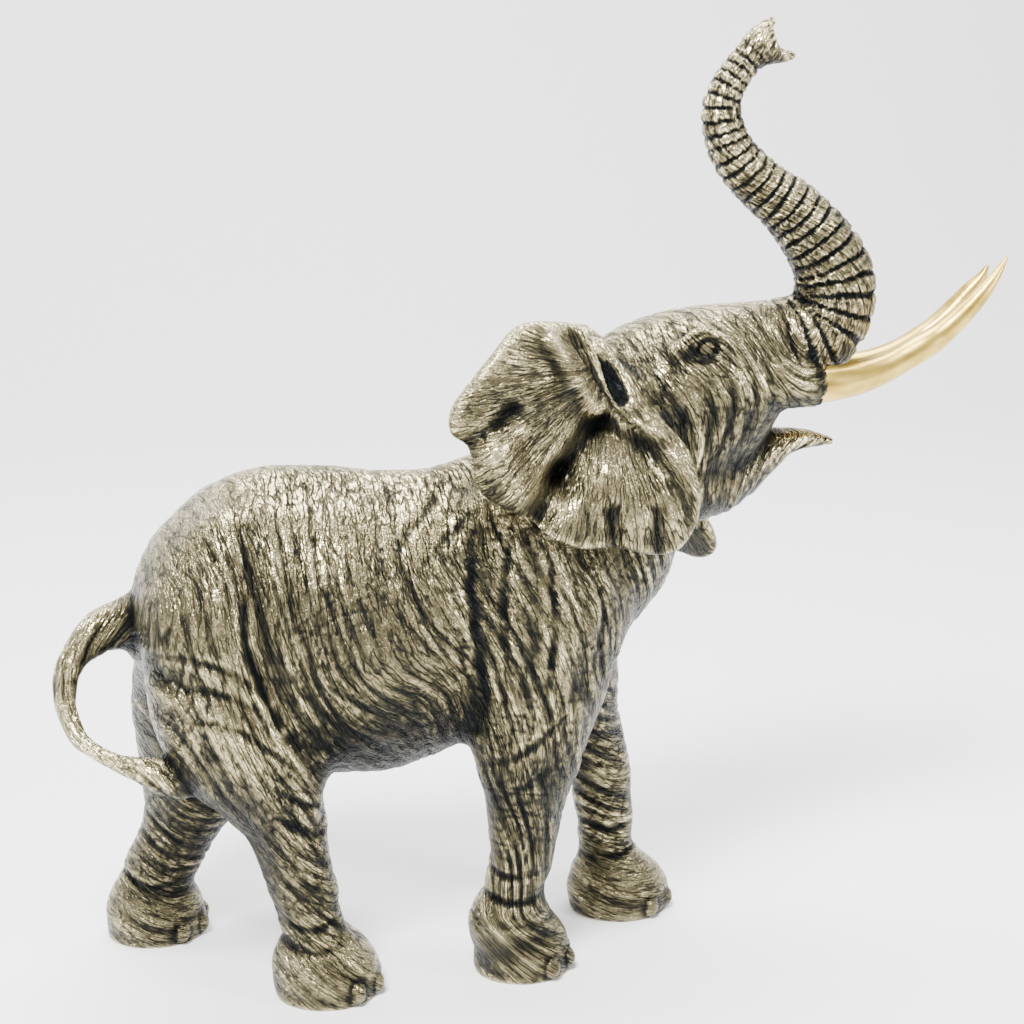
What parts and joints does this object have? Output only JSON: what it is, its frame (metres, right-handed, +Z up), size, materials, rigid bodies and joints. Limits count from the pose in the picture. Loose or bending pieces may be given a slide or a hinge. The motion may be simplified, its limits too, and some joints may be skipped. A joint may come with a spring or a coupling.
{
  "type": "elephant figurine",
  "caption": "Cast elephant figurine with a bronze-toned finish, walking with its trunk and gilt tusks raised, on its own feet",
  "frame": {"origin": "Middle of the bounding box, at the level of the soles", "axes": "+X is the way the elephant walks, +Y is its left side, +Z is up"},
  "size_m": [0.3024, 0.1142, 0.2993],
  "materials": {
    "patina": "satin",
    "gilt": "satin"
  },
  "bodies": {
    "root": {"elephant_body": "patina", "tusk_right": "gilt", "tusk_left": "gilt"}
  },
  "joints": []
}
